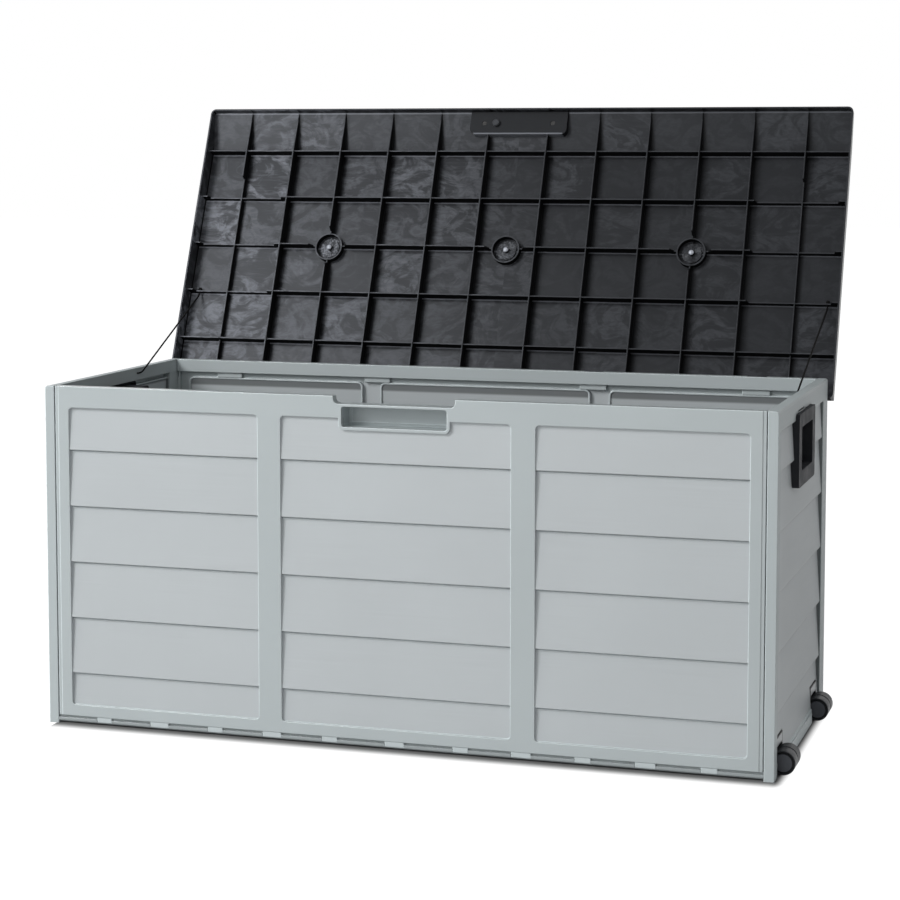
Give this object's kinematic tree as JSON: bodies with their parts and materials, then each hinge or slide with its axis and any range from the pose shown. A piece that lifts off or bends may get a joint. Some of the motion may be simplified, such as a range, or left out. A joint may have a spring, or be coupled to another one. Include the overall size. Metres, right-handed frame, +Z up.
{
  "type": "outdoor storage box",
  "caption": "Lidded garden storage box in moulded lapped-board panels with an open ribbed lid, end handles, and two small rollers at one end.",
  "frame": {"origin": "on the ground under the middle of the body's floor", "axes": "+X along the box towards the end with rollers, +Y from front to rear, +Z up"},
  "size_m": [1.1307, 0.6675, 0.9314],
  "materials": {
    "panel_plastic": "satin with a faint wood grain on the boards",
    "floor_plastic": "matte",
    "lid_plastic": "satin, cloudy flow marks inside",
    "handle_plastic": "satin",
    "wheel_plastic": "satin",
    "bumper_plastic": "satin",
    "pin_steel": "plated",
    "stay_cord": "woven cord"
  },
  "bodies": {
    "body": {"front_panel": "panel_plastic", "rear_panel": "panel_plastic", "left_side_panel": "panel_plastic", "right_side_panel": "panel_plastic", "floor_panel_left": "floor_plastic", "floor_panel_right": "floor_plastic", "hinge_pins": "pin_steel", "left_handle": "handle_plastic", "right_handle": "handle_plastic", "front_wheel_bracket": "panel_plastic", "rear_wheel_bracket": "panel_plastic", "left_lid_stay": "stay_cord", "right_lid_stay": "stay_cord"},
    "lid": {"lid": "lid_plastic", "lid_grip_plate": "lid_plastic", "grip_plate_screws": "pin_steel", "lid_bumper": "bumper_plastic"},
    "front_wheel": {"front_wheel": "wheel_plastic", "front_wheel_axle": "pin_steel"},
    "rear_wheel": {"rear_wheel": "wheel_plastic", "rear_wheel_axle": "pin_steel"}
  },
  "joints": [
    {"name": "lid_hinge", "type": "hinge", "parent": "body", "child": "lid", "pos_m": [0, 0.2316, 0.4956], "axis": [1, 0, 0], "range_deg": [0, 113], "deforming": ["left_lid_stay", "right_lid_stay"]},
    {"name": "front_wheel_roll", "type": "hinge", "parent": "body", "child": "front_wheel", "pos_m": [0.556, -0.1685, 0.0182], "axis": [0, 1, 0], "continuous": true},
    {"name": "rear_wheel_roll", "type": "hinge", "parent": "body", "child": "rear_wheel", "pos_m": [0.556, 0.1485, 0.0182], "axis": [0, 1, 0], "continuous": true}
  ]
}
